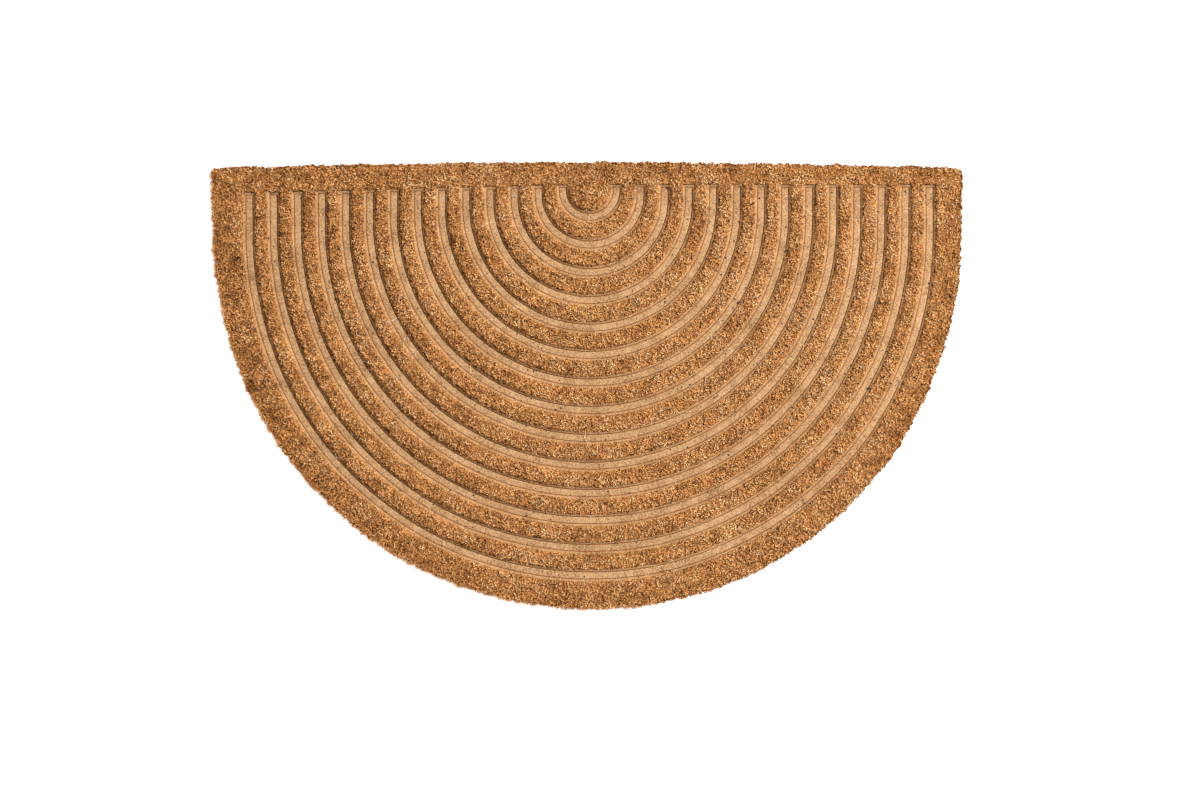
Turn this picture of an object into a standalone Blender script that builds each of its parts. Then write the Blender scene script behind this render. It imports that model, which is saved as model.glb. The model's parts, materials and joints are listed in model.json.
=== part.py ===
# Half-round coir doormat: one slab of cut coir pile with fourteen nested arches pressed into its top.
#
# The mat lies flat, pile up. Metres, +Z up. The origin is the centre of the underside's box, the arches
# open towards +Y, where the straight edge is, and the round edge is towards -Y.

import math

import bmesh
import bpy

# Outline: a half disc with short straight sides and a slightly bowed straight edge.
RIM_RADIUS = 0.3750
SIDE_HEIGHT = 0.0660
EDGE_BOW = 0.0056
CORNER_RADIUS = 0.0050
OUTLINE_STEP = 0.0085

# Thickness, and how the cut side rounds over into the pile.
THICKNESS = 0.0160
FOOT_INSET = 0.0010
FOOT_HEIGHT = 0.0030
SHOULDER_DROP = 0.0022
CROWN_DROP = 0.0007
CROWN_INSET = 0.0008
LAND_INSET = 0.0024

# Pressed arches: half circles on straight legs that all end near one line.
ARCH_COUNT = 14
FIRST_RADIUS = 0.0270
ARCH_PITCH = 0.0241
ARC_CENTRE = 0.0436
ARC_CENTRE_DROP = 0.0035
LEG_TOP = 0.0463
LEFT_LEG_SAG = 0.0088
RIGHT_LEG_SAG = 0.0004
ARCH_SHIFT = 0.0021
CHORD_ERROR = 0.00025

# Section of a pressed channel: floor, crease wall, smooth lip, pile wall. A channel ends in the same
# steps, stretched, at square corners.
FLOOR_DEPTH = 0.0060
FLOOR_HALF = 0.0033
LIP_INNER_HALF = 0.0039
LIP_INNER_RISE = 0.0014
LIP_OUTER_HALF = 0.0054
LIP_OUTER_RISE = 0.0018
MOUTH_HALF = 0.0076
END_STRETCH = 1.2
CUTTER_RISE = 0.0015

# Where the cut runs wide or narrow: how far it stands out at an angle about the round edge's centre.
# Zero degrees is +X, and the round edge runs from -180 to 0; the corners are at -190 and 10.
EDGE_DEPARTURES = (
    {"degrees": -190, "out": 0.0018},
    {"degrees": -180, "out": -0.0012},
    {"degrees": -168, "out": -0.0019},
    {"degrees": -156, "out": -0.0010},
    {"degrees": -132, "out": -0.0011},
    {"degrees": -126, "out": -0.0002},
    {"degrees": -108, "out": -0.0003},
    {"degrees": -90, "out": 0.0003},
    {"degrees": -78, "out": 0.0013},
    {"degrees": -66, "out": 0.0026},
    {"degrees": -54, "out": 0.0030},
    {"degrees": -36, "out": 0.0025},
    {"degrees": -30, "out": 0.0014},
    {"degrees": -24, "out": 0.0003},
    {"degrees": -12, "out": -0.0008},
    {"degrees": 0, "out": -0.0006},
    {"degrees": 10, "out": 0.0001},
)
# Waves along the whole cut edge: length and height in metres, and phase in radians.
EDGE_WAVES = (
    {"length": 0.118, "height": 0.00020, "phase": 0.4},
    {"length": 0.061, "height": 0.00022, "phase": 2.1},
    {"length": 0.037, "height": 0.00028, "phase": 5.0},
    {"length": 0.026, "height": 0.00022, "phase": 1.2},
)

COIR_COLOUR = (0.434, 0.198, 0.075, 1.0)
COIR_ROUGHNESS = 0.92


def clear_scene():
    for existing in list(bpy.data.objects):
        bpy.data.objects.remove(existing, do_unlink=True)


def edge_wave(distance):
    """How far the cut edge stands out at a distance along it."""
    return sum(
        wave["height"] * math.sin(2 * math.pi * distance / wave["length"] + wave["phase"])
        for wave in EDGE_WAVES
    )


def edge_departure(degrees):
    """How far the cut stands out at an angle, eased from row to row of the table."""
    for before, after in zip(EDGE_DEPARTURES, EDGE_DEPARTURES[1:]):
        if degrees <= after["degrees"]:
            share = max(0.0, (degrees - before["degrees"]) / (after["degrees"] - before["degrees"]))
            eased = share * share * (3 - 2 * share)
            return before["out"] + (after["out"] - before["out"]) * eased
    return EDGE_DEPARTURES[-1]["out"]


def even_steps(length):
    return max(2, math.ceil(length / OUTLINE_STEP))


def corner_arc(side, half_width):
    """Points from a straight side round to the straight edge, on the right (+1) or the left (-1)."""
    steps = 4
    centre_x = half_width - CORNER_RADIUS
    centre_y = SIDE_HEIGHT - CORNER_RADIUS
    turns = [math.pi / 2 * step / steps for step in range(steps + 1)]
    return [
        (side * (centre_x + CORNER_RADIUS * math.cos(turn)), centre_y + CORNER_RADIUS * math.sin(turn))
        for turn in turns
    ]


def side_points(side):
    """Points up one straight side, between the round edge and the corner."""
    steps = even_steps(SIDE_HEIGHT - CORNER_RADIUS)
    points = []
    for step in range(1, steps):
        y = (SIDE_HEIGHT - CORNER_RADIUS) * step / steps
        lean = math.degrees(math.atan2(y, RIM_RADIUS))
        points.append((side * (RIM_RADIUS + edge_departure(lean if side > 0 else -180 - lean)), y))
    return points


def smooth_outline():
    """The mat's outline without its waves, anticlockwise from the right-hand corner."""
    right = RIM_RADIUS + edge_departure(10)
    left = RIM_RADIUS + edge_departure(-190)
    points = corner_arc(1, right)
    steps = even_steps(right + left)
    for step in range(1, steps):
        across = 1 - 2 * step / steps
        reach = (right if across > 0 else left) - CORNER_RADIUS
        points.append((reach * across, SIDE_HEIGHT + EDGE_BOW * (1 - across**2)))
    points += reversed(corner_arc(-1, left))
    points += reversed(side_points(-1))
    steps = even_steps(math.pi * RIM_RADIUS)
    for step in range(steps + 1):
        degrees = -180 + 180 * step / steps
        reach = RIM_RADIUS + edge_departure(degrees)
        angle = math.radians(degrees)
        points.append((reach * math.cos(angle), reach * math.sin(angle)))
    points += side_points(1)
    return points


def outward_at(points, index):
    """The unit direction that points out of a closed anticlockwise outline at one of its points."""
    x0, y0 = points[index - 1]
    x1, y1 = points[(index + 1) % len(points)]
    length = math.hypot(x1 - x0, y1 - y0)
    return (y1 - y0) / length, (x0 - x1) / length


def moved_out(points, offset_at):
    """The outline with each point moved outwards by offset_at(distance along it)."""
    moved = []
    distance = 0.0
    for index, (x, y) in enumerate(points):
        before = points[index - 1] if index else (x, y)
        distance += math.hypot(x - before[0], y - before[1])
        out_x, out_y = outward_at(points, index)
        offset = offset_at(distance)
        moved.append((x + offset * out_x, y + offset * out_y))
    return moved


def box_centre(points):
    xs = [x for x, _ in points]
    ys = [y for _, y in points]
    return (min(xs) + max(xs)) / 2, (min(ys) + max(ys)) / 2


def make_slab(outline):
    """The mat before pressing: rings up the cut side, closed by the underside and the pile's top."""
    rings = (
        (0.0, FOOT_INSET),
        (FOOT_HEIGHT, 0.0),
        (THICKNESS - SHOULDER_DROP, 0.0),
        (THICKNESS - CROWN_DROP, CROWN_INSET),
        (THICKNESS, LAND_INSET),
    )
    slab = bmesh.new()
    loops = [
        [slab.verts.new((x, y, height)) for x, y in moved_out(outline, lambda _, inset=inset: -inset)]
        for height, inset in rings
    ]
    count = len(outline)
    for lower, upper in zip(loops, loops[1:]):
        for index in range(count):
            after = (index + 1) % count
            slab.faces.new((lower[index], lower[after], upper[after], upper[index]))
    slab.faces.new(reversed(loops[0]))
    slab.faces.new(loops[-1])
    return slab


def channel_section():
    """Half of the section that is pressed out, from its floor up past the pile: (distance, height)."""
    floor = THICKNESS - FLOOR_DEPTH
    lip = floor + LIP_OUTER_RISE
    widening = (MOUTH_HALF - LIP_OUTER_HALF) / (THICKNESS - lip)
    return (
        (FLOOR_HALF, floor),
        (LIP_INNER_HALF, floor + LIP_INNER_RISE),
        (LIP_OUTER_HALF, lip),
        (MOUTH_HALF + widening * CUTTER_RISE, THICKNESS + CUTTER_RISE),
    )


def leg_end(x):
    """Where a leg ends above the round edge's centre: the outer legs end lower, most of all on the left."""
    sag = LEFT_LEG_SAG if x < 0 else RIGHT_LEG_SAG
    return LEG_TOP - sag * abs(x) / RIM_RADIUS


def arch_path(radius, centre_y):
    """An arch's centre line from its left leg's end to its right one: (x, y, outward x, outward y)."""
    steps = math.ceil(math.pi / (2 * math.acos(1 - CHORD_ERROR / radius)))
    path = [(-radius, leg_end(-radius), -1.0, 0.0)]
    for step in range(steps + 1):
        angle = math.pi * (1 + step / steps)
        out_x, out_y = math.cos(angle), math.sin(angle)
        path.append((radius * out_x, centre_y + radius * out_y, out_x, out_y))
    path.append((radius, leg_end(radius), 1.0, 0.0))
    return path


def close_end(cutter, loop):
    """Closes a cutter's end with a step for each step of its section, from the floor upwards."""
    middle = len(loop) // 2
    for step in range(middle - 1):
        left, right = middle - 1 - step, middle + step
        cutter.faces.new((loop[left], loop[right], loop[right + 1], loop[left - 1]))


def make_channel_cutter(radius, centre_y, shift):
    """The solid that one arch of the pressing tool takes out of the pile."""
    section = channel_section()
    profile = [(-distance, height) for distance, height in reversed(section)] + list(section)
    cutter = bmesh.new()
    loops = []
    path = arch_path(radius, centre_y)
    for place, (x, y, out_x, out_y) in enumerate(path):
        end = place in (0, len(path) - 1)
        loops.append([
            cutter.verts.new((
                x + distance * out_x + shift[0],
                y + distance * out_y + shift[1] + end * END_STRETCH * (abs(distance) - FLOOR_HALF),
                height,
            ))
            for distance, height in profile
        ])
    count = len(profile)
    for loop, following in zip(loops, loops[1:]):
        for index in range(count):
            after = (index + 1) % count
            cutter.faces.new((loop[index], loop[after], following[after], following[index]))
    close_end(cutter, loops[0])
    close_end(cutter, loops[-1])
    bmesh.ops.recalc_face_normals(cutter, faces=cutter.faces)
    return cutter


def add_object(name, shape):
    mesh = bpy.data.meshes.new(name)
    shape.to_mesh(mesh)
    shape.free()
    made = bpy.data.objects.new(name, mesh)
    bpy.context.scene.collection.objects.link(made)
    return made


def coir_material():
    material = bpy.data.materials.new("coir")
    material.use_nodes = True
    shader = material.node_tree.nodes["Principled BSDF"]
    shader.inputs["Base Color"].default_value = COIR_COLOUR
    shader.inputs["Roughness"].default_value = COIR_ROUGHNESS
    shader.inputs["Metallic"].default_value = 0.0
    return material


def press_channels(mat, shift):
    """Cuts the fourteen arches out of the slab; each has its own hidden cutter."""
    for index in range(ARCH_COUNT):
        radius = FIRST_RADIUS + ARCH_PITCH * index
        centre_y = ARC_CENTRE - ARC_CENTRE_DROP * index
        cutter = add_object(f"arch_cutter_{index + 1}", make_channel_cutter(radius, centre_y, shift))
        cutter.hide_render = True
        cutter.display_type = "WIRE"
        pressing = mat.modifiers.new(f"arch {index + 1}", "BOOLEAN")
        pressing.operation = "DIFFERENCE"
        pressing.object = cutter


def main():
    clear_scene()
    outline = moved_out(smooth_outline(), edge_wave)
    centre_x, centre_y = box_centre(outline)
    outline = [(x - centre_x, y - centre_y) for x, y in outline]
    mat = add_object("coir_mat", make_slab(outline))
    mat.data.materials.append(coir_material())
    press_channels(mat, (ARCH_SHIFT - centre_x, -centre_y))


main()
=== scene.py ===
import json
import math

import bmesh
import bpy
import numpy as np
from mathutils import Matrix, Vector

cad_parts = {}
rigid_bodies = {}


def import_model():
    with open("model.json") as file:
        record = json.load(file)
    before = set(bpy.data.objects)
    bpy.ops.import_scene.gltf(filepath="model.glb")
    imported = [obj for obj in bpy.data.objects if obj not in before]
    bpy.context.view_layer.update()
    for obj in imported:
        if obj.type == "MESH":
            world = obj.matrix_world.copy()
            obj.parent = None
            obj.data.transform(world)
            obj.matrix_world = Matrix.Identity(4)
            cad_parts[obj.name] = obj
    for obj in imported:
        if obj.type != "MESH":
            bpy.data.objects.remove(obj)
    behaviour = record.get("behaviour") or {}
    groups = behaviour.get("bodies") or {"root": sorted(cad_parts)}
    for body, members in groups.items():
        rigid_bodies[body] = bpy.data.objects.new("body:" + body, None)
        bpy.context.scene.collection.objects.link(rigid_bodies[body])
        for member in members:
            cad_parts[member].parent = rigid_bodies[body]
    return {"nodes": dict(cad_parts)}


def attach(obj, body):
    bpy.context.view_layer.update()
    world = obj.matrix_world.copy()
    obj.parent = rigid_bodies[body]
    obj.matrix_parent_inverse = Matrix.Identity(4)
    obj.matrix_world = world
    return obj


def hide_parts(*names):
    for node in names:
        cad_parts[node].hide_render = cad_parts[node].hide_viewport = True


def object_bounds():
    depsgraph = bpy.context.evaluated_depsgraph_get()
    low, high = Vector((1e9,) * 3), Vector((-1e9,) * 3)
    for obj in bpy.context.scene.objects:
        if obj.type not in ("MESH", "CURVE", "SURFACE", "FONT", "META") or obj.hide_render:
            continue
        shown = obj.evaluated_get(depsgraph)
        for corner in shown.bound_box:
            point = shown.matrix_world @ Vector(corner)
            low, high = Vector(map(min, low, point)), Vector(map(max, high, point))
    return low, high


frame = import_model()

# Half-round coir doormat with nested arches pressed into its pile. Metres and +Z up unless a note says
# otherwise. The straight edge is towards +Y.

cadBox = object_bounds()
millimetre = 0.001
print("frame loaded, box", cadBox)

# The cut edge: half a disc about this centre, with short straight sides
matEdge = {
    "roundCentre": (0.00082, 0.15167),
    "roundRadius": 0.375,
    "cornerHeight": 0.0645,     # of the corners above the round centre
    "cornerInset": 0.005,       # of the corners from the disc's sides
    "widestHeight": 0.003,      # where the solid's side is widest
    "besideStraight": 0.18,     # steeper than this from the centre, only the straight edge counts
}

# The pressed arches: half circles on straight legs, as the solid has them
archPattern = {
    "count": 14,
    "firstRadius": 0.0270,
    "pitch": 0.0241,
    "arcCentre": 0.0436,        # of the first arch, above the round centre
    "centreDrop": 0.0035,       # from each arch to the next
    "shift": 0.0021,            # of all the arches towards +X
    "legTop": 0.0463,
    "leftSag": 0.0088,          # how much lower the outermost legs end
    "rightSag": 0.0004,
}

# Half of a channel's section: distance from its middle and height, in millimetres
channelSection = (
    (0.0, 10.05),
    (3.2, 10.0),
    (3.5, 9.5),                 # the crease at the foot of the lip
    (3.85, 11.0),
    (4.1, 11.4),
    (4.8, 11.7),
    (5.4, 11.8),
    (6.0, 13.1),
    (6.8, 14.7),
    (7.6, 15.6),
    (8.6, 15.9),
    (10.5, 16.0),
)
lipHalf = 0.0054
lipTop = 0.0118
pileTop = 0.0160
# Where a channel ends it has the same section at square corners, with a longer lip and a steeper wall:
# how far past the floor's end, and how far out in the section
endSection = ((0.0, 0.0032), (0.0027, 0.0054), (0.0045, 0.0086))

tableSize = 256                 # numbers each way in a table of random numbers, which repeats after that
# Every noise over the mat has a seed of its own, so that a change to one leaves the others
noiseSeeds = {
    "bed": 5,
    "wideBed": 6,
    "floor": 7,
    "pileTufts": 40,            # each kind of tuft takes the next two seeds as well
    "heading": 42,
    "tone": 50,                 # and one more for each size of patches
    "fringeTufts": 60,
    "edgeTufts": 62,
    "fineEdge": 63,
}
sameHeight = 1e-5               # heights closer than this are one, and so are
samePlace = 1e-6                # points closer than this
leastLength = 1e-9              # keeps a division by a length from failing


def lumps(x, y, size, seed):
    # Smooth noise from -1 to 1 over a plane, with lumps of about the given size
    grid = np.random.default_rng(seed).uniform(-1, 1, (tableSize, tableSize))
    u, v = x / size, y / size
    column, row = np.floor(u).astype(int), np.floor(v).astype(int)
    a, b = u - column, v - row
    a, b = a * a * (3 - 2 * a), b * b * (3 - 2 * b)
    column, nextColumn = column % tableSize, (column + 1) % tableSize
    row, nextRow = row % tableSize, (row + 1) % tableSize
    near = grid[row, column] * (1 - a) + grid[row, nextColumn] * a
    far = grid[nextRow, column] * (1 - a) + grid[nextRow, nextColumn] * a
    return near * (1 - b) + far * b


def eased(values, low, high):
    share = np.clip((values - low) / (high - low), 0, 1)
    return share * share * (3 - 2 * share)


def readCutEdge():
    # The widest ring of the solid, as angles about the round centre and reaches from it
    spots = np.array([corner.co for corner in frame["nodes"]["coir_mat"].data.vertices])
    ring = spots[np.abs(spots[:, 2] - matEdge["widestHeight"]) < sameHeight][:, :2]
    ring = ring - matEdge["roundCentre"]
    angles = np.arctan2(ring[:, 1], ring[:, 0])
    order = np.argsort(angles)
    return angles[order], np.hypot(ring[:, 0], ring[:, 1])[order]


edgeAngles, edgeReaches = readCutEdge()


def edgeReach(angle):
    return np.interp(angle, edgeAngles, edgeReaches, period=2 * math.pi)


def straightEdge(x):
    # How high the straight edge lies at x, in the mat's frame
    spotsX = edgeReaches * np.cos(edgeAngles)
    spotsY = edgeReaches * np.sin(edgeAngles)
    upper = spotsY > matEdge["cornerHeight"] - millimetre
    order = np.argsort(spotsX[upper])
    fromCentre = np.interp(x - matEdge["roundCentre"][0], spotsX[upper][order], spotsY[upper][order])
    return matEdge["roundCentre"][1] + fromCentre


def insideEdge(x, y):
    # How far inside the cut edge a spot lies; negative outside it
    dx, dy = x - matEdge["roundCentre"][0], y - matEdge["roundCentre"][1]
    fromRound = edgeReach(np.arctan2(dy, dx)) - np.hypot(dx, dy)
    besideStraight = np.abs(dx) * matEdge["besideStraight"] < dy
    return np.where(besideStraight, straightEdge(x) - y, np.minimum(fromRound, straightEdge(x) - y))


def archAt(index):
    x = matEdge["roundCentre"][0] + archPattern["shift"]
    y = matEdge["roundCentre"][1] + archPattern["arcCentre"] - archPattern["centreDrop"] * index
    return x, y, archPattern["firstRadius"] + archPattern["pitch"] * index


def legEnd(index, side):
    sag = archPattern["leftSag"] if side < 0 else archPattern["rightSag"]
    radius = archAt(index)[2]
    return matEdge["roundCentre"][1] + archPattern["legTop"] - sag * radius / matEdge["roundRadius"]


farAway = 1.0                   # further than any spot of the mat is from a channel


def nearestArch(x, y):
    # How far out from the middle of the nearest channel each spot is, and how far past that channel's end
    across = np.full(np.shape(x), farAway)
    past = np.full(np.shape(x), -farAway)
    for index in range(archPattern["count"]):
        centreX, centreY, radius = archAt(index)
        dx, dy = x - centreX, y - centreY
        out = np.where(dy < 0, np.hypot(dx, dy), np.abs(dx)) - radius
        over = y - np.where(dx < 0, legEnd(index, -1), legEnd(index, 1))
        nearer = np.abs(out) < np.abs(across)
        across[nearer] = out[nearer]
        past[nearer] = over[nearer]
    return across, past


def channelReach(x, y):
    # How far out in a channel's section each spot lies, round the channel's end too
    across, past = nearestArch(x, y)
    lengths, reaches = np.transpose(endSection)
    beyond = np.interp(past, lengths, reaches) + np.maximum(past - lengths[-1], 0)
    return np.where(past > 0, np.maximum(np.abs(across), beyond), np.abs(across))


def pileHeight(reach):
    # Height of the pressed mat's top, channels and all
    section = np.array(channelSection) * millimetre
    return np.interp(reach, section[:, 0], section[:, 1])


# How far the pattern wanders: millimetres, size of the lumps, seeds for x and y
wanderings = ((0.40, 0.075, (73, 74)), (0.10, 0.009, (71, 72)))


def wander(x, y):
    # The press and the pile aren't quite regular: a small smooth shift of every spot
    shiftX, shiftY = [
        sum(strength * lumps(x, y, size, seeds[axis]) for strength, size, seeds in wanderings)
        for axis in (0, 1)
    ]
    return x + shiftX * millimetre, y + shiftY * millimetre


dullness = 0.03                 # specular level of every finish: dry coir hardly shines


def startMaterial(name, roughness):
    material = bpy.data.materials.new(name)
    material.use_nodes = True
    shader = material.node_tree.nodes["Principled BSDF"]
    shader.inputs["Roughness"].default_value = roughness
    shader.inputs["Specular IOR Level"].default_value = dullness
    return material, shader


def addNode(material, kind, **settings):
    node = material.node_tree.nodes.new(kind)
    for name, value in settings.items():
        setattr(node, name, value)
    return node


def wire(material, source, target):
    material.node_tree.links.new(source, target)


def objectPlace(material):
    return addNode(material, "ShaderNodeTexCoord").outputs["Object"]


noiseTurn = (0.6, 0.9, 0.4)     # radians


def noiseNode(material, place, scale, detail=2.0):
    # turned, so that the noise's own grid doesn't show on the flat mat
    turned = addNode(material, "ShaderNodeMapping")
    turned.inputs["Rotation"].default_value = noiseTurn
    wire(material, place, turned.inputs["Vector"])
    node = addNode(material, "ShaderNodeTexNoise")
    node.inputs["Scale"].default_value = scale
    node.inputs["Detail"].default_value = detail
    wire(material, turned.outputs["Vector"], node.inputs["Vector"])
    return node.outputs["Fac"]


def rampNode(material, source, stops):
    node = addNode(material, "ShaderNodeValToRGB")
    ramp = node.color_ramp
    while len(ramp.elements) < len(stops):
        ramp.elements.new(0.5)
    for element, (place, colour) in zip(ramp.elements, stops):
        element.position = place
        element.color = (*colour, 1)
    wire(material, source, node.inputs["Fac"])
    return node.outputs["Color"]


def rangeNode(material, source, fromRange, toRange):
    node = addNode(material, "ShaderNodeMapRange")
    for side, (low, high) in (("From", fromRange), ("To", toRange)):
        node.inputs[side + " Min"].default_value = low
        node.inputs[side + " Max"].default_value = high
    wire(material, source, node.inputs["Value"])
    return node.outputs["Result"]


def mathNode(material, operation, first, second):
    node = addNode(material, "ShaderNodeMath", operation=operation)
    for socket, value in zip(node.inputs, (first, second)):
        if isinstance(value, (int, float)):
            socket.default_value = value
        else:
            wire(material, value, socket)
    return node.outputs["Value"]


def tintedColour(material, colour, tint):
    node = addNode(material, "ShaderNodeVectorMath", operation="MULTIPLY")
    wire(material, colour, node.inputs[0])
    wire(material, tint, node.inputs[1])
    return node.outputs["Vector"]


def mixedColour(material, share, first, second):
    node = addNode(material, "ShaderNodeMix", data_type="RGBA")
    wire(material, share, node.inputs["Factor"])
    # the colour sockets come after the ones for numbers and vectors
    for socket, value in ((node.inputs[6], first), (node.inputs[7], second)):
        if isinstance(value, tuple):
            socket.default_value = (*value, 1)
        else:
            wire(material, value, socket)
    return node.outputs[2]


def attributeNode(material, name):
    return addNode(material, "ShaderNodeAttribute", attribute_name=name).outputs["Fac"]


# Shades of the fibres, from the darkest to the palest: tone and colour
fibreShades = (
    (0.00, (0.050, 0.020, 0.008)),
    (0.08, (0.070, 0.028, 0.010)),
    (0.16, (0.325, 0.125, 0.033)),
    (0.34, (0.620, 0.282, 0.092)),
    (0.60, (0.775, 0.422, 0.175)),
    (0.84, (0.775, 0.535, 0.300)),
    (1.00, (0.750, 0.600, 0.415)),
)
# What is left of a fibre's colour from its root to its tip: towards the root the light has bounced from
# fibre to fibre, which leaves it darker and redder
depthShades = (
    (0.0, (0.38, 0.25, 0.10)),
    (0.5, (0.77, 0.66, 0.49)),
    (1.0, (1.0, 1.0, 1.0)),
)


def makeFibreMaterial():
    material, shader = startMaterial("coir_fibre", roughness=0.8)
    tone = attributeNode(material, "tone")
    along = attributeNode(material, "along")
    fine = noiseNode(material, objectPlace(material), scale=900.0, detail=1.0)
    fine = rangeNode(material, fine, (0.3, 0.7), (-0.08, 0.08))
    colour = rampNode(material, mathNode(material, "ADD", tone, fine), fibreShades)
    depth = rampNode(material, along, depthShades)
    wire(material, tintedColour(material, colour, depth), shader.inputs["Base Color"])
    return material


# Where a channel's parts lie, out from its middle: distance in millimetres, and how strong each one is
channelBands = {
    "lip": ((3.2, 0), (3.7, 1)),
    "pile": ((5.4, 0), (6.1, 1)),
    # painted shade: the dark line in the crease at the lip's foot, and a fainter one at the lip's outer edge
    "crease": ((3.05, 0), (3.20, 1), (3.65, 1), (3.90, 0), (4.50, 0), (4.65, 0.5), (4.80, 0)),
}
bandsEnd = 10                   # millimetres: everything further out is pile


def bandNode(material, distance, name):
    stops = [(place / bandsEnd, (share, share, share)) for place, share in channelBands[name]]
    return rampNode(material, rangeNode(material, distance, (0, bandsEnd), (0, 1)), stops)


# Colours of the pressed body. Three of them run from the dark grains to the pale ones. The bed's are much
# darker than the fibres': painted shade of the deep pile, where it shows between the tufts.
bedShades = {
    "bed": ((0.055, 0.020, 0.006), (0.250, 0.105, 0.034), (0.500, 0.230, 0.080)),
    "floor": ((0.145, 0.074, 0.030), (0.320, 0.181, 0.085), (0.437, 0.270, 0.140)),
    "lip": ((0.155, 0.078, 0.031), (0.322, 0.182, 0.083), (0.435, 0.268, 0.135)),
    "fleck": (0.085, 0.045, 0.026),
    # painted shade in the creases
    "crease": (0.165, 0.043, 0.005),
    # painted shade at the floors' ends and on the lips under the nap
    "paintedShade": (0.150, 0.050, 0.012),
}
grainStops = (0.1, 0.5, 0.9)
bedBump = {"Strength": 0.35, "Distance": 0.0004}


def makeBedMaterial():
    material, shader = startMaterial("coir_bed", roughness=0.9)
    place = objectPlace(material)
    # the borders between floor, lip and pile are a little uneven
    uneven = noiseNode(material, place, scale=120.0)
    uneven = rangeNode(material, uneven, (0.3, 0.7), (-0.10, 0.10))
    across = mathNode(material, "ADD", attributeNode(material, "across"), uneven)
    grain = noiseNode(material, place, scale=650.0, detail=3.0)
    patches = noiseNode(material, place, scale=60.0, detail=3.0)
    mixedGrain = mathNode(
        material,
        "ADD",
        rangeNode(material, grain, (0.33, 0.67), (0.0, 0.62)),
        rangeNode(material, patches, (0.25, 0.75), (0.0, 0.38)),
    )
    bed, floor, lip = [
        rampNode(material, mixedGrain, tuple(zip(grainStops, bedShades[part])))
        for part in ("bed", "floor", "lip")
    ]
    smooth = mixedColour(material, bandNode(material, across, "lip"), floor, lip)
    flecks = noiseNode(material, place, scale=480.0, detail=1.0)
    flecks = rangeNode(material, flecks, (0.67, 0.74), (0.0, 0.85))
    smooth = mixedColour(material, flecks, smooth, bedShades["fleck"])
    colour = mixedColour(material, bandNode(material, across, "pile"), smooth, bed)
    # painted shade in the crease at the lip's foot, and a fainter line at the lip's outer edge
    colour = mixedColour(material, bandNode(material, across, "crease"), colour, bedShades["crease"])
    # painted shade at the floors' ends and on the lips under the nap
    colour = mixedColour(material, attributeNode(material, "paintedShade"), colour, bedShades["paintedShade"])
    wire(material, colour, shader.inputs["Base Color"])
    bump = addNode(material, "ShaderNodeBump")
    for name, value in bedBump.items():
        bump.inputs[name].default_value = value
    wire(material, grain, bump.inputs["Height"])
    wire(material, bump.outputs["Normal"], shader.inputs["Normal"])
    return material


# The finishes that are only grained: from the dark grains to the pale ones
grained = {
    "coir_underside": {
        "roughness": 0.9, "scale": 420.0, "detail": 4.0,
        "dark": (0.180, 0.085, 0.036), "pale": (0.330, 0.175, 0.080),
    },
    "coconut_husk": {
        "roughness": 0.75, "scale": 300.0, "detail": 2.0,
        "dark": (0.018, 0.014, 0.013), "pale": (0.075, 0.050, 0.042),
    },
}


def makeGrainedMaterial(name):
    finish = grained[name]
    material, shader = startMaterial(name, finish["roughness"])
    grain = noiseNode(material, objectPlace(material), finish["scale"], finish["detail"])
    colour = rampNode(material, grain, ((0.3, finish["dark"]), (0.7, finish["pale"])))
    wire(material, colour, shader.inputs["Base Color"])
    return material


def addFloats(mesh, name, values):
    attribute = mesh.attributes.new(name, "FLOAT", "POINT")
    attribute.data.foreach_set("value", np.asarray(values, np.float32).ravel())


def addPiece(name, mesh, materials):
    piece = bpy.data.objects.new(name, mesh)
    bpy.context.scene.collection.objects.link(piece)
    for material in materials:
        mesh.materials.append(material)
    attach(piece, "root")
    return piece


# The pressed body under the pile
body = {
    "step": 0.0032,             # between points along a channel
    "floorLines": (-1.7, 0.0, 1.7),     # from a channel's middle, in millimetres
    "endLines": (-1.2, -2.8),   # on the floor short of a channel's end, in millimetres
    "legTop": 0.069,            # usual height of a leg's line above the round centre
    "aboveArc": 0.0004,         # the least height of a line at a channel's end above the arc
    "legPace": 0.05,            # this much of a leg counts as one radian of the arc
    "inset": 0.0012,            # of the body behind the tufts of the cut edge
    "outerRows": 9,             # lines outside the last channel
    "innerRows": (0.0152, 0.0115, 0.0078, 0.0040, 0.0),     # radii of the lines inside the first one
    "wallHeights": (0.0095, 0.0060, 0.0028, 0.0),           # of the lines down the cut side
}
# The body's top: the bed that the pile stands on, and the floors and lips that show between
bodyTop = {
    "bedShare": 0.45,           # how high the bed stands in the pile
    "border": 0.0012,           # over which the bed's lumps start beside a lip
    "lumps": 0.0006,            # their height
    "lumpSize": 0.0042,
    "wideLumps": 0.4,           # height of the wider lumps, as a share of the usual ones'
    "wideLumpSize": 0.012,
    "floorLumps": 0.00012,
    "floorLumpSize": 0.006,
    "edgeDrop": 0.0006,         # how much lower the bed is at the cut edge
    "edgeDropBand": (0.0008, 0.0030),
    "endShade": 0.30,             # how dark the painted shade at the ends of the floors is
    "endShadeBand": (-0.0040, 0.0002),    # from short of a channel's end to just past it
    "endShadeHalf": 0.0034,
    "shadedLip": 0.60,           # how dark the painted shade on the lips under the nap is
    "shadedLipBand": (0.0039, 0.0049, 0.0064, 0.0070),
}
sectionOffsets = [offset for offset, _ in channelSection]
railOffsets = [-offset * millimetre for offset in sectionOffsets[:0:-1]]
railOffsets += [offset * millimetre for offset in body["floorLines"]]
railOffsets += [offset * millimetre for offset in sectionOffsets[1:]]
endLengths, endReaches = np.transpose(endSection)
endSteps = list(np.interp(np.array(sectionOffsets[-2:0:-1]) * millimetre, endReaches, endLengths))
endSteps += [offset * millimetre for offset in body["endLines"]]


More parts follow.
